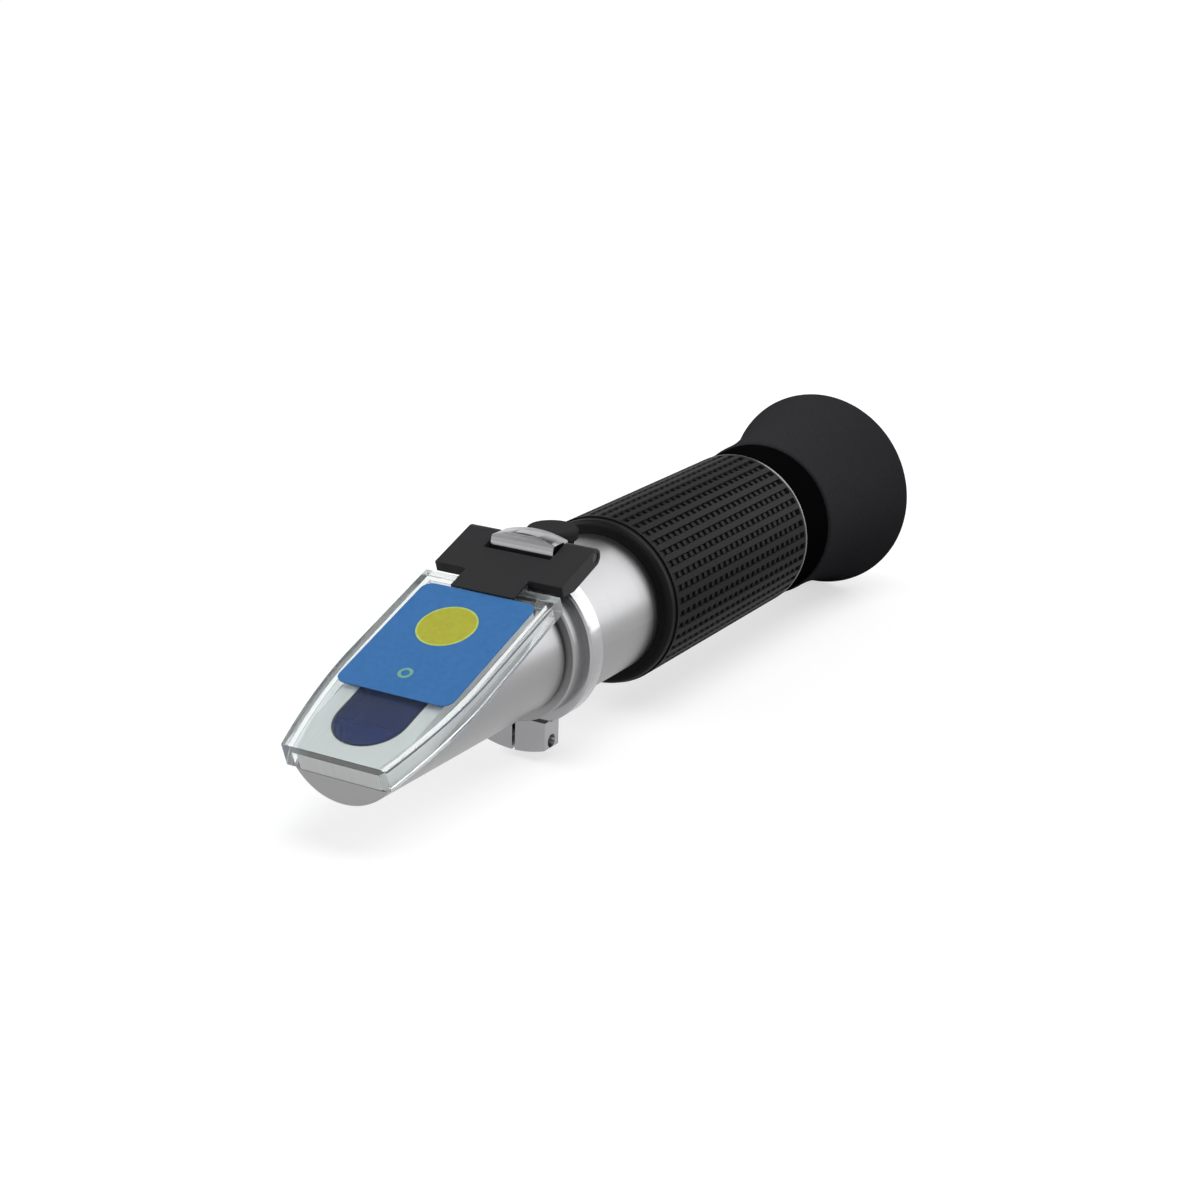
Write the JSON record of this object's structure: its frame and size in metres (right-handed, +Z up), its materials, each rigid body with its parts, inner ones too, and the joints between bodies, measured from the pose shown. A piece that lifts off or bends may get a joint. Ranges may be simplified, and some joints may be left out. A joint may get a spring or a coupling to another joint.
{
  "type": "brix refractometer",
  "caption": "Handheld brix refractometer: hinged daylight plate over a slanted prism head, silver tube with ribbed grip, focusing ring and flared rubber eyecup.",
  "frame": {"origin": "on the plane of symmetry, below the middle of the whole length, level with the lowest point of the eyecup's rim", "axes": "+Y along the optical axis from the nose of the prism head to the eyecup, +Z up, the way the daylight plate opens, +X to the right seen from the nose along +Y"},
  "size_m": [0.0396, 0.1672, 0.0396],
  "materials": {
    "silver_metal": "satin silver",
    "collar_metal": "satin silver",
    "seat_metal": "finely ground",
    "prism_glass": "polished, bluish",
    "lens_glass": "polished",
    "dark_cement": "matt",
    "screw_steel": "bright",
    "port_brass": "turned",
    "inner_plastic": "matt black",
    "barrel_metal": "black anodised",
    "clear_plastic": "clear, polished",
    "label_film": "satin printed film",
    "hinge_plastic": "fine grained",
    "cap_rubber": "matt",
    "grip_rubber": "ribbed",
    "ring_plastic": "satin black",
    "cup_rubber": "satin"
  },
  "bodies": {
    "root": {"prism_head": "silver_metal", "prism_seat": "seat_metal", "measuring_prism": "prism_glass", "prism_cement": "dark_cement", "clamp_collar": "collar_metal", "clamp_screw": "screw_steel", "hinge_pin": "screw_steel", "body_tube": "silver_metal", "port_bush": "port_brass", "lens_guide": "inner_plastic", "front_baffle": "inner_plastic", "rear_baffle": "inner_plastic", "reticle_mount": "inner_plastic", "reticle": "lens_glass", "reticle_ring": "port_brass", "tube_o_ring": "cup_rubber", "guide_screw": "screw_steel", "grip_front_ring": "ring_plastic", "grip_sleeve": "grip_rubber", "grip_end_ring": "ring_plastic"},
    "cover": {"daylight_plate": "clear_plastic", "plate_label": "label_film", "hinge_block": "hinge_plastic"},
    "calibration_screw": {"cal_screw": "port_brass"},
    "objective": {"lens_holder": "inner_plastic", "objective_lens": "lens_glass", "bimetal_strip": "port_brass"},
    "port_cap": {"cal_cap": "cap_rubber"},
    "eyepiece": {"eyepiece_barrel": "barrel_metal", "field_lens": "lens_glass", "lens_spacer": "inner_plastic", "eye_lens": "lens_glass", "lens_ring": "inner_plastic", "barrel_clip": "inner_plastic"},
    "eyecup_ring": {"focus_ring": "ring_plastic", "eyecup": "cup_rubber"}
  },
  "joints": [
    {"name": "plate_hinge", "type": "hinge", "parent": "root", "child": "cover", "pos_m": [0, -0.0294, 0.03564], "axis": [-1, 0, 0], "range_deg": [0, 110]},
    {"name": "cal_screw_turn", "type": "hinge", "parent": "root", "child": "calibration_screw", "pos_m": [0, -0.0231, 0.033], "axis": [0, 0, 1], "range_deg": [-180, 180]},
    {"name": "lens_shift", "type": "slide", "parent": "root", "child": "objective", "axis": [0, 0, 1], "range_m": [-0.000224, 0.000224]},
    {"name": "cap_pull", "type": "slide", "parent": "root", "child": "port_cap", "axis": [0, 0, 1], "range_m": [0, 0.012]},
    {"name": "focus_travel", "type": "slide", "parent": "root", "child": "eyepiece", "axis": [0, 1, 0], "range_m": [0, 0.004]},
    {"name": "focus_turn", "type": "hinge", "parent": "eyepiece", "child": "eyecup_ring", "pos_m": [0, 0.05, 0.0198], "axis": [0, 1, 0], "range_deg": [0, 300]}
  ],
  "couplings": [
    {"joint": "cal_screw_turn", "follows": "lens_shift", "rad_per_m": 13963},
    {"joint": "focus_travel", "follows": "focus_turn", "m_per_rad": 0.00076}
  ]
}
